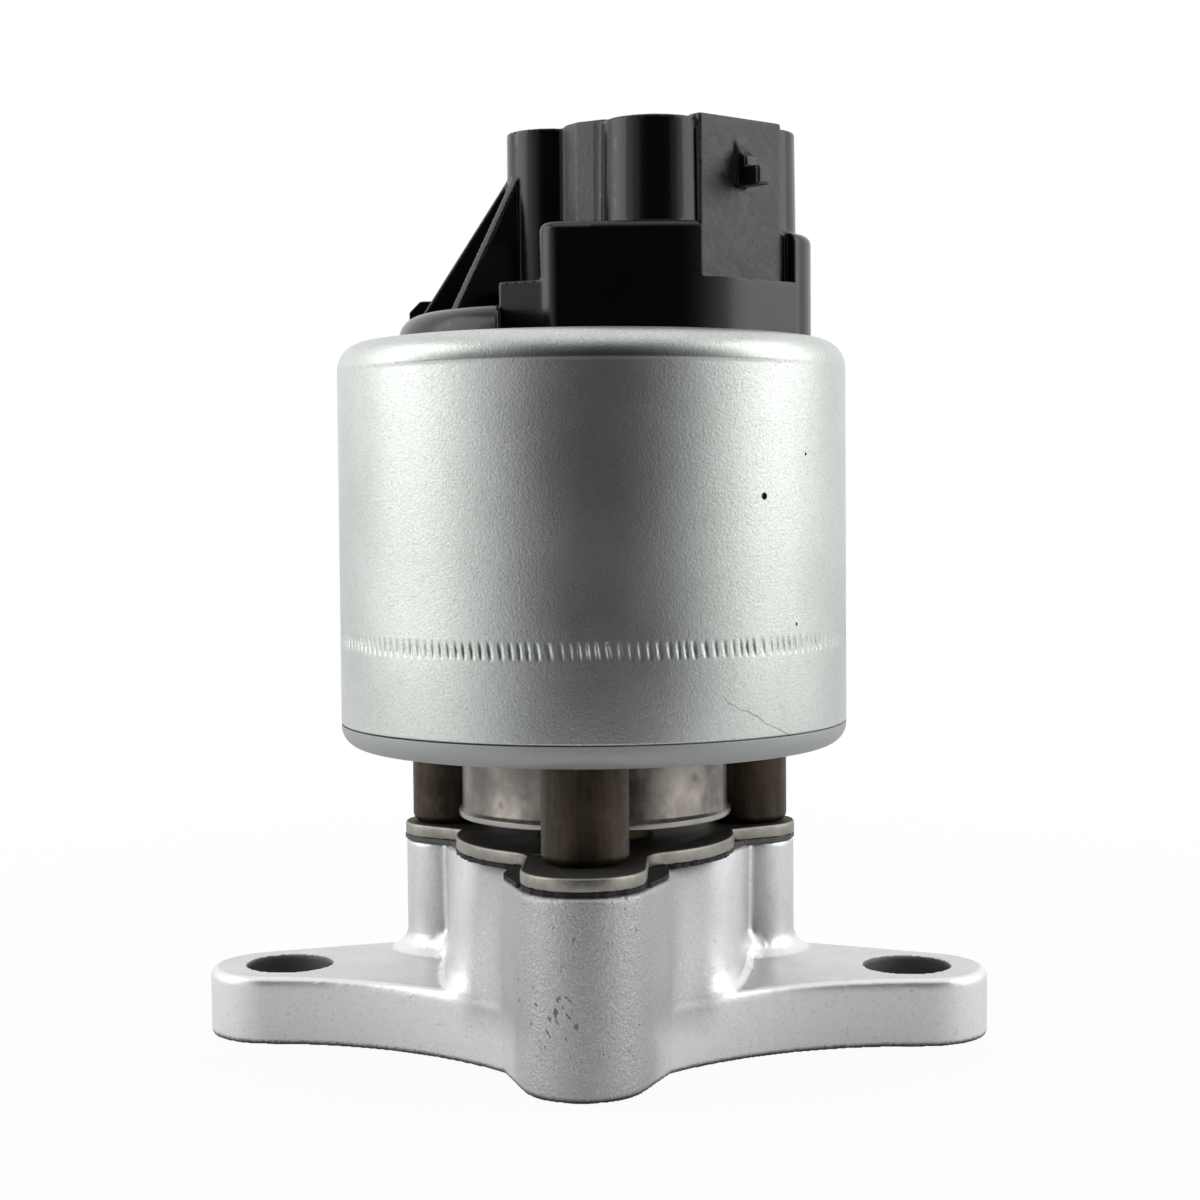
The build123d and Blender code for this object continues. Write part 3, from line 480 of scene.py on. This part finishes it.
def stamped_plate():
    """Warm grey stamped steel, with a painted highlight along its edges and painted shade on its
    top.
    """
    finish = Finish("stamped_plate_steel")
    patches = finish.cloud(3.5, detail=4.0, rough=0.6)
    sand = finish.cloud(0.3, detail=3.0)
    # Painted highlight along the sharp edges
    painted_edge_highlight = finish.edges(0.51, 0.56)
    # Painted shade, near black, on every face that looks up
    painted_top_shade = finish.tilt().rise(0.6, 0.95) * (1.0 - painted_edge_highlight * 0.6)
    tone = finish.mix(patches.rise(0.3, 0.7), (0.22, 0.205, 0.18), (0.36, 0.34, 0.30))
    tone = finish.mix(sand.rise(0.55, 0.7) * 0.35, tone, (0.11, 0.10, 0.09))
    tone = finish.mix(painted_edge_highlight * 0.5, tone, (0.52, 0.50, 0.46))
    tone = finish.mix(painted_top_shade * 0.95, tone, (0.008, 0.007, 0.006))
    return finish.surface({
        "Base Color": tone,
        "Metallic": 0.9 - painted_top_shade * 0.7,
        "Roughness": patches * 0.16 + 0.34 + painted_top_shade * 0.2,
        "Specular IOR Level": 0.15,
        "Normal": finish.bump(sand, 0.02),
    })


def graphite_gasket():
    """Black compressed sheet with grey flecks."""
    finish = Finish("graphite_gasket")
    sand = finish.cloud(0.35, detail=3.0, rough=0.7)
    tone = finish.mix(sand.rise(0.55, 0.72) * 0.6, (0.008, 0.008, 0.008), (0.06, 0.06, 0.058))
    tone = finish.mix(abs(finish.axes()[0]).rise(14.0, 16.0) * 0.8, tone, (0.13, 0.125, 0.115))
    return finish.surface({
        "Base Color": tone,
        "Roughness": sand * 0.2 + 0.62,
        "Normal": finish.bump(sand, 0.05),
    })


def plastic(name, dark, light, rough):
    """Moulded plastic: faint flow marks and a fine skin."""
    finish = Finish(name)
    flow = finish.cloud(6.0, detail=4.0, rough=0.6)
    return finish.surface({
        "Base Color": finish.mix(flow.rise(0.3, 0.7), dark, light),
        "Roughness": flow * 0.12 + (rough - 0.06),
        "Specular IOR Level": 0.45,
        "Normal": finish.bump(finish.cloud(0.3), 0.01),
    })


def black_cap():
    """Black glass-filled plastic with a dull sheen, grey on the lock plate and on its edges, where
    dusty wear and a painted highlight lie.
    """
    finish = Finish("black_cap_plastic")
    x, y, z = finish.axes()
    flow = finish.cloud(5.0, detail=5.0, rough=0.6)
    skin = finish.cloud(0.25, detail=3.0)
    scuff = finish.cloud(1.3, detail=5.0, rough=0.7)
    # Grey on the edges: partly dusty wear, partly a painted highlight
    painted_edge_highlight = finish.edges(0.51, 0.58) * scuff.rise(0.35, 0.6)
    out = x * LOCK_FACES[0] + y * LOCK_FACES[1]
    along = y * LOCK_FACES[0] - x * LOCK_FACES[1]
    plate = out.rise(LOCK_OUT - 0.2, LOCK_OUT) * out.rise(LOCK_OUT + 0.9, LOCK_OUT + 0.7)
    upright = abs(finish.tilt()).rise(0.7, 0.3)
    plate = plate * upright * along.rise(LOCK_SIDES[0] - 0.1, LOCK_SIDES[0] + 0.1)
    plate = plate * along.rise(LOCK_SIDES[1] + 0.1, LOCK_SIDES[1] - 0.1)
    web = upright * x.rise(WEB_SIDES[0] - 0.1, WEB_SIDES[0] + 0.1) * y.rise(0.0, -1.0)
    plate = plate * z.rise(LOCK_FOOT - 0.2, LOCK_FOOT + 0.2)
    web = web * x.rise(WEB_SIDES[1] + 0.1, WEB_SIDES[1] - 0.1) * z.rise(WEB_FOOT, WEB_FOOT + 0.3)
    dull = plate.larger(web) * (scuff.rise(0.3, 0.66) * 0.75 + 0.25)
    tone = finish.mix(flow.rise(0.3, 0.7), (0.0016, 0.0016, 0.0016), (0.003, 0.003, 0.0029))
    tone = finish.mix(dull, tone, (0.055, 0.053, 0.052))
    tone = finish.mix(web * 0.8, tone, (0.11, 0.107, 0.104))
    tone = finish.mix(painted_edge_highlight * 0.8, tone, (0.075, 0.074, 0.07))
    return finish.surface({
        "Base Color": tone,
        "Roughness": flow * 0.08 + 0.18 + dull * 0.26,
        "Specular IOR Level": 0.5,
        "Normal": finish.bump(skin + scuff * dull * 3.0, 0.014),
    })


def coil_wire():
    """Enamelled copper, wound in rows."""
    finish = Finish("enamelled_copper")
    turns = finish.axes()[2] * (2 * pi / WIRE_PITCH)
    patches = finish.cloud(3.0)
    return finish.surface({
        "Base Color": finish.mix(patches, (0.42, 0.16, 0.07), (0.62, 0.26, 0.11)),
        "Metallic": 0.9,
        "Roughness": patches * 0.1 + 0.28,
        "Normal": finish.bump(turns.math("SINE", turns), 0.08),
    })


# Mesh makers

def rounded(corners, steps=6):
    """A closed outline of (r, z, radius) corners with each radius drawn as an arc."""
    outline = []
    count = len(corners)
    for index, (r, z, radius) in enumerate(corners):
        here = Vector((r, z))
        if not radius:
            outline.append(tuple(here))
            continue
        back = (Vector(corners[index - 1][:2]) - here).normalized()
        ahead = (Vector(corners[(index + 1) % count][:2]) - here).normalized()
        half = back.angle(ahead) / 2
        middle = here + (back + ahead).normalized() * (radius / sin(half))
        start = here + back * (radius / tan(half)) - middle
        sweep = start.angle_signed(here + ahead * (radius / tan(half)) - middle)
        for step in range(steps + 1):
            turned = Matrix.Rotation(-sweep * step / steps, 2) @ start
            outline.append(tuple(middle + turned))
    return outline


def mesh_piece(name, mesh, slot, replaced):
    """Make an object of a mesh, dress it and set it on the housing in place of a CAD node."""
    piece = bpy.data.objects.new(name, mesh)
    bpy.context.scene.collection.objects.link(piece)
    mesh.materials.clear()
    mesh.materials.append(finishes[slot])
    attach(piece, "housing")
    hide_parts(replaced)
    return piece


def lathe(name, outline, segments, shape=None):
    """Turn a closed outline of (r, z) round the valve axis; shape may change each radius."""
    form = bmesh.new()
    rings = []
    for step in range(segments):
        angle = 2 * pi * step / segments
        ring = []
        for r, z in outline:
            if shape:
                r = shape(r, z, angle)
            ring.append(form.verts.new(at(r * cos(angle), r * sin(angle), z)))
        rings.append(ring)
    for step, ring in enumerate(rings):
        following = rings[(step + 1) % segments]
        for row in range(len(outline)):
            up = (row + 1) % len(outline)
            face = form.faces.new((ring[row], following[row], following[up], ring[up]))
            face.smooth = True
    bmesh.ops.recalc_face_normals(form, faces=form.faces)
    mesh = bpy.data.meshes.new(name)
    form.to_mesh(mesh)
    form.free()
    mesh.set_sharp_from_angle(angle=radians(35))
    return mesh


def node_form(node):
    """A welded copy of a CAD node's mesh, whose flat faces are whole again."""
    form = bmesh.new()
    form.from_mesh(bpy.data.objects[node].data)
    bmesh.ops.remove_doubles(form, verts=form.verts, dist=0.002 * MM)
    return form


def shaped(name, form, modifiers):
    """The mesh of a form after a list of modifiers, each given as its kind and settings."""
    mesh = bpy.data.meshes.new(name)
    form.to_mesh(mesh)
    form.free()
    blank = bpy.data.objects.new(name + "_form", mesh)
    bpy.context.scene.collection.objects.link(blank)
    for kind, settings in modifiers:
        modifier = blank.modifiers.new(kind.lower(), kind)
        for setting, value in settings.items():
            setattr(modifier, setting, value)
    result = bpy.data.meshes.new_from_object(
        blank.evaluated_get(bpy.context.evaluated_depsgraph_get())
    )
    bpy.data.objects.remove(blank)
    bpy.data.meshes.remove(mesh)
    result.name = name
    result.shade_smooth()
    return result


def melted(name, node, grid, passes, fillet=None):
    """A CAD node with its edges softened as a casting or a moulding has them.

    With a fillet, its inner corners are filled by a round of that radius as well.
    """
    steps = [("SMOOTH", {"factor": 0.5, "iterations": passes})]
    fine = ("REMESH", {"mode": "VOXEL", "voxel_size": grid * MM})
    if fillet:
        coarse = ("REMESH", {"mode": "VOXEL", "voxel_size": FILLET_GRID * MM})
        grow = ("DISPLACE", {"strength": fillet * MM, "mid_level": 0.0})
        shrink = ("DISPLACE", {"strength": -fillet * MM, "mid_level": 0.0})
        steps = [coarse, grow, coarse, shrink, fine] + steps
    else:
        steps = [fine] + steps
    mesh = shaped(name, node_form(node), steps)
    low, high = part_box(node)
    for vertex in mesh.vertices:
        vertex.co = [
            min(max(place, least), most) for place, least, most in zip(vertex.co, low, high)
        ]
    return mesh


def cast_form():
    """The casting: softened all over, with a round fillet at the feet of its screw columns."""
    plain = melted("casting_plain", "valve_base", CASTING_GRID, CASTING_SMOOTH)
    filled = melted("casting", "valve_base", CASTING_GRID, CASTING_SMOOTH, FOOT_FILLET)
    walls = BVHTree.FromPolygons(
        [vertex.co for vertex in plain.vertices], [face.vertices for face in plain.polygons]
    )
    bpy.data.meshes.remove(plain)
    columns = [Vector(middle) * MM for middle in screw_middles if abs(middle[0]) > COLUMN_R]
    for vertex in filled.vertices:
        reach = min((vertex.co.xy - column).length for column in columns) / MM - COLUMN_R
        rise = abs(vertex.co.z / MM - COLUMN_FOOT)
        near = share(FILLET_REACH - reach) * share(FILLET_RISE - rise)
        if near < 1.0:
            vertex.co = walls.find_nearest(vertex.co)[0].lerp(vertex.co, near)
    return filled


def turned_corner(mesh):
    """Turn the front corner of the cap's collar in a wide round."""
    middle = Vector(COLLAR_MIDDLE)
    for vertex in mesh.vertices:
        reach = vertex.co.xy / MM - middle
        turn = -degrees(Vector((1, 0)).angle_signed(reach, 0.0))
        z = vertex.co.z / MM
        over = share((z - COLLAR_TOP + COLLAR_RIM_R) / COLLAR_RIM_R)
        most = COLLAR_R - COLLAR_RIM_R * (1 - cos(asin(over)))
        if reach.length > most and COLLAR_TURN[0] < turn < COLLAR_TURN[1]:
            stand = share((z - CAN_TOP) / COLLAR_FOOT_R)
            vertex.co.xy = (middle + reach.lerp(reach * (most / reach.length), stand)) * MM
    return mesh


def eased(name, node, width):
    """A CAD node whose sharp edges are broken by a small round."""
    form = node_form(node)
    bmesh.ops.dissolve_limit(
        form, angle_limit=radians(0.5), verts=form.verts, edges=form.edges
    )
    mesh = shaped(name, form, [
        ("BEVEL", {
            "width": width * MM,
            "segments": 3,
            "limit_method": "ANGLE",
            "angle_limit": radians(40),
        }),
    ])
    mesh.set_sharp_from_angle(angle=radians(30))
    return mesh


def wound_spring(name, node):
    """A coil spring: a copy of the CAD node's mesh in spring steel, set on the housing in place of
    the node.
    """
    mesh = bpy.data.objects[node].data.copy()
    mesh.name = name
    spring = mesh_piece(name, mesh, "spring_steel", node)
    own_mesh(spring)


def circle(x, y, r, steps=48):
    turns = [2 * pi * step / steps for step in range(steps)]
    return [(x + r * cos(turn), y + r * sin(turn)) for turn in turns]


def flat_sheet(name, loops, low, high):
    """A flat sheet between two heights: the first loop is its edge and the others are holes."""
    outline = bpy.data.curves.new(name, "CURVE")
    outline.dimensions = "2D"
    outline.fill_mode = "BOTH"
    outline.extrude = (high - low) / 2 * MM
    for loop in loops:
        spline = outline.splines.new("POLY")
        spline.points.add(len(loop) - 1)
        for point, place in zip(spline.points, loop):
            point.co = (*at(*place, 0), 1.0)
        spline.use_cyclic_u = True
    blank = bpy.data.objects.new(name + "_form", outline)
    mesh = bpy.data.meshes.new_from_object(blank)
    mesh.transform(Matrix.Translation(at(0, 0, (low + high) / 2)))
    bpy.data.objects.remove(blank)
    bpy.data.curves.remove(outline)
    mesh.name = name
    return mesh


def outer_radii(node, z):
    """Radius of a node's outer wall at one height, for every step round the gasket."""
    form = node_form(node)
    walls = BVHTree.FromBMesh(form)
    form.free()
    radii = []
    for step in range(GASKET_STEPS):
        turn = 2 * pi * step / GASKET_STEPS
        outwards = Vector((cos(turn), sin(turn), 0))
        hit = walls.ray_cast(at(0, 0, z) + outwards, -outwards)[0]
        radii.append(hit.xy.length / MM)
    return radii


def torn_edge():
    """Edge of the gasket: that of the plate, or where a ledge of the casting shows, that of it."""
    plate = outer_radii("flange_plate", (plate_low.z + plate_high.z) / 2)
    body = outer_radii("valve_base", gasket_low.z - 1.0)
    edge = []
    for step, (over, under) in enumerate(zip(plate, body)):
        turn = 2 * pi * step / GASKET_STEPS
        ledge = (under - over - GASKET_LEDGE[0]) / (GASKET_LEDGE[1] - GASKET_LEDGE[0])
        r = over - GASKET_IN + (under - GASKET_BACK - over) * share(ledge)
        tear = noise.noise(Vector((cos(turn), sin(turn), 0)) * r)
        tear += noise.noise(Vector((cos(turn), sin(turn), 1)) * r * 2.5) * 0.5
        r += GASKET_TEAR * tear
        edge.append((r * cos(turn), r * sin(turn)))
    return edge


def can_radius(r, z, angle):
    """Radius of the can, with its ring of crimp marks; it steps in under the shoulder in front."""
    if r < CAN_WALL_R - 0.4 or z > CAN_BEND:
        return r
    front = share((-sin(angle) - 0.5) / 0.35)
    r += min(CAN_R - r, CAN_R - CAN_WALL_R) * (1 - front)
    along = abs(z - CRIMP_Z) / (CRIMP_TALL / 2)
    if along >= 1:
        return r
    wander = noise.noise(Vector((cos(angle), sin(angle), 0)) * 9.0)
    phase = CRIMP_COUNT * angle / (2 * pi) + CRIMP_SLANT * (z - CRIMP_Z) + CRIMP_WANDER * wander
    mark = max(0.0, cos(2 * pi * phase)) ** 1.3
    return r - CRIMP_DEPTH * mark * (1 - along ** 2) * (0.8 + CRIMP_WANDER * wander)


# Camera and studio

def place_camera():
    """Stand the camera where the photograph was taken."""
    heading = Vector((*CAMERA_HEADING, 0)).normalized()
    across = heading.cross(Vector((0, 0, 1)))
    down = radians(CAMERA_DOWN)
    ahead = heading * cos(down) - Vector((0, 0, sin(down)))
    above = across.cross(ahead)
    roll = radians(CAMERA_ROLL)
    across, above = across * cos(roll) - above * sin(roll), across * sin(roll) + above * cos(roll)
    turn = radians(CAMERA_RIGHT)
    ahead, across = ahead * cos(turn) + across * sin(turn), across * cos(turn) - ahead * sin(turn)
    data = bpy.data.cameras.new("camera")
    data.lens = CAMERA_LENS
    data.sensor_width = CAMERA_SENSOR
    data.clip_start = 0.01
    camera = bpy.data.objects.new("camera", data)
    bpy.context.scene.collection.objects.link(camera)
    camera.matrix_world = Matrix((
        (across.x, above.x, -ahead.x, CAMERA_AT[0] * MM),
        (across.y, above.y, -ahead.y, CAMERA_AT[1] * MM),
        (across.z, above.z, -ahead.z, CAMERA_AT[2] * MM),
        (0, 0, 0, 1),
    ))
    bpy.context.scene.camera = camera
    bpy.context.scene.view_settings.view_transform = "Standard"


def lay_floor():
    """A plain pale floor that shows white and keeps the shadow."""
    form = bmesh.new()
    bmesh.ops.create_grid(form, x_segments=16, y_segments=16, size=1.0)
    bmesh.ops.scale(form, vec=(FLOOR_WIDE * MM, FLOOR_DEEP * MM, 1.0), verts=form.verts)
    mesh = bpy.data.meshes.new("floor")
    form.to_mesh(mesh)
    form.free()
    floor = bpy.data.objects.new("floor", mesh)
    floor.location = at(0, FLOOR_FRONT + FLOOR_DEEP, FLOOR_LEVEL)
    bpy.context.scene.collection.objects.link(floor)
    finish = Finish("white_floor")
    finish.surface({
        "Base Color": finish.mix(finish.cloud(60.0), (0.78, 0.78, 0.78), (0.8, 0.8, 0.8)),
        "Roughness": 0.9,
    })
    white = finish.node("Emission", inputs={"Color": WHITE, "Strength": 1.0})
    from_valve = finish.distance(finish.place, (0.0, -FLOOR_FRONT - FLOOR_DEEP, 0.0))
    seen = finish.node("LightPath", output="Is Camera Ray")
    bleach = seen * (from_valve.rise(50.0, 250.0) * 0.06 + 0.94)
    lit = Value(finish, finish.shader.outputs[0])
    finish.link(
        finish.node("MixShader", inputs={0: bleach, 1: lit, 2: white}),
        finish.output.inputs["Surface"],
    )
    mesh.materials.append(finish.material)


def soft_lamp(name, place):
    """A large soft box that faces the valve."""
    data = bpy.data.lights.new(name, "AREA")
    data.shape = "RECTANGLE"
    data.size = LAMP_WIDE * MM
    data.size_y = LAMP_TALL * MM
    data.energy = LAMP_POWER
    lamp = bpy.data.objects.new(name, data)
    lamp.location = at(*place)
    lamp.rotation_euler = (at(0, 0, 50) - at(*place)).to_track_quat("-Z", "Y").to_euler()
    bpy.context.scene.collection.objects.link(lamp)


def light_room():
    """White room round the sides, the back and overhead, dark behind the camera."""
    world = bpy.data.worlds.new("studio")
    bpy.context.scene.world = world
    world.use_nodes = True
    room = Tree(world.node_tree)
    x, y, z = room.parts(room.node("TexCoord", output="Generated"))
    across = x * cos(radians(DARK_TURN)) + y * sin(radians(DARK_TURN))
    sides = abs(across).rise(0.42, 1.0)
    bright = sides.larger(y.rise(-0.1, 0.4)).larger(z.rise(0.62, 0.95))
    light = bright * (1.0 - ROOM_DARK) + ROOM_DARK
    lit = room.node("Background", inputs={"Color": WHITE, "Strength": light})
    white = room.node("Background", inputs={"Color": WHITE, "Strength": 1.0})
    seen = room.node("LightPath", output="Is Camera Ray")
    output = room.nodes.nodes.new("ShaderNodeOutputWorld")
    room.link(room.node("MixShader", inputs={0: seen, 1: lit, 2: white}), output.inputs["Surface"])


place_camera()
lay_floor()
light_room()
soft_lamp("left_soft_box", (-520, -60, LAMP_UP))
soft_lamp("right_soft_box", (520, -20, LAMP_UP))

# Finishes by slot of the record
finishes = {
    "cast_alloy": cast_silver(),
    "plate_steel": stamped_plate(),
    "gasket_graphite": graphite_gasket(),
    "spacer_steel": rusty_spacer(),
    "screw_steel": metal(
        "screw_steel", (0.32, 0.31, 0.28), (0.48, 0.46, 0.40),
        patch=3.0, rough=0.36, grain=0.3, grain_depth=0.02, spots=0.02,
    ),
    "shield_steel": heat_stained_cup(),
    "can_steel": plated_can(),
    "stainless": metal(
        "stainless_steel", (0.50, 0.49, 0.47), (0.62, 0.61, 0.59),
        patch=4.0, rough=0.26, grain=0.4, grain_depth=0.01, spots=0.01,
    ),
    # Bearing bush, painted near black for the deep shade under the cup
    "bronze": metal(
        "painted_shade_bronze", (0.05, 0.036, 0.02), (0.09, 0.066, 0.038),
        patch=3.0, rough=0.42, grain=0.25, grain_depth=0.03, spots=0.03,
    ),
    "iron": metal(
        "soft_iron", (0.34, 0.34, 0.34), (0.44, 0.44, 0.43),
        patch=5.0, rough=0.36, grain=0.4, grain_depth=0.01, spots=0.01,
    ),
    "copper": coil_wire(),
    "spring_steel": metal(
        "spring_steel", (0.36, 0.35, 0.33), (0.5, 0.49, 0.46),
        patch=2.0, rough=0.3, grain=0.3, grain_depth=0.01, spots=0.01,
    ),
    "seal_rubber": plastic("seal_rubber", (0.014, 0.014, 0.014), (0.022, 0.022, 0.022), 0.62),
    "black_plastic": black_cap(),
    "inner_plastic": plastic("inner_plastic", (0.05, 0.045, 0.035), (0.075, 0.066, 0.052), 0.45),
    "board": plastic("green_board", (0.012, 0.06, 0.03), (0.018, 0.085, 0.042), 0.4),
    "tin": metal(
        "tinned_blade", (0.58, 0.57, 0.54), (0.70, 0.69, 0.66),
        patch=2.0, rough=0.28, grain=0.3, grain_depth=0.01, spots=0.01,
    ),
    "track": plastic("carbon_track", (0.02, 0.02, 0.022), (0.032, 0.032, 0.035), 0.5),
}

# CAD nodes that keep their shape get the finish of their slot
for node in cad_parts.values():
    for holder in node.material_slots:
        holder.material = finishes[holder.material.name.split(".")[0]]

# Casting, gasket and plate
screw_middles = []
for screw in SCREWS:
    low, high = node_box(screw)
    screw_middles.append(((low.x + high.x) / 2, (low.y + high.y) / 2))
mesh_piece("casting", cast_form(), "cast_alloy", "valve_base")
gasket_holes = [circle(0, 0, GASKET_HOLE_R)]
gasket_holes += [circle(*middle, SCREW_HOLE_R) for middle in screw_middles]
mesh_piece(
    "torn_gasket",
    flat_sheet("torn_gasket", [torn_edge()] + gasket_holes, gasket_low.z, gasket_high.z),
    "gasket_graphite", "base_gasket",
)
mesh_piece(
    "stamped_plate", eased("stamped_plate", "flange_plate", 0.35),
    "plate_steel", "flange_plate",
)

# Shield cup, pressed with a rolled lip
cup_outline = rounded([
    (CUP_HOLE_R, CUP_TOP, 0),
    (CUP_R, CUP_TOP, 1.2),
    (CUP_R, CUP_RIM + 1.2, 0),
    (CUP_R + 0.12, CUP_RIM + 0.95, 0),
    (CUP_LIP_R, CUP_RIM + 0.65, 0.12),
    (CUP_LIP_R, CUP_RIM, 0.25),
    (CUP_R - CUP_T, CUP_RIM, 0.3),
    (CUP_R - CUP_T, CUP_TOP - CUP_T, 0.5),
    (CUP_HOLE_R, CUP_TOP - CUP_T, 0),
])
mesh_piece(
    "pressed_cup", lathe("pressed_cup", cup_outline, LATHE_STEPS),
    "shield_steel", "shield_cup",
)

# Can with its ring of crimp marks
crimp_rows = [
    CRIMP_Z + CRIMP_TALL * (row / CRIMP_ROWS - 0.5) for row in range(-3, CRIMP_ROWS + 4)
]
can_outline = rounded(
    [(CAN_WALL_R, CAN_FOOT, 0.3)]
    + [(CAN_WALL_R, z, 0) for z in crimp_rows]
    + [
        (CAN_WALL_R, CAN_BEND - 0.6, 0),
        (CAN_WALL_R + 0.01, CAN_BEND - 0.5, 0),
        (CAN_WALL_R + 0.05, CAN_BEND - 0.32, 0),
        (CAN_WALL_R + 0.1, CAN_BEND - 0.16, 0),
        (CAN_R, CAN_BEND - 0.04, 0),
        (CAN_R, CAN_TOP, CAN_SHOULDER_R),
        (CAN_MOUTH_R, CAN_TOP, 0.35),
        (CAN_MOUTH_R, CAN_LIP, 0),
        (CAN_INNER_R, CAN_LIP, 0),
        (CAN_INNER_R, CAN_FOOT, 0),
    ]
)
mesh_piece(
    "drawn_can", lathe("drawn_can", can_outline, CRIMP_COUNT * CRIMP_STEPS, can_radius),
    "can_steel", "solenoid_can",
)

# Springs
wound_spring("valve_spring", "return_spring")
wound_spring("wiper_spring", "sensor_spring")

# Cap moulding
mesh_piece(
    "moulded_cap", turned_corner(melted("moulded_cap", "sensor_cap", CAP_GRID, CAP_SMOOTH)),
    "black_plastic", "sensor_cap",
)
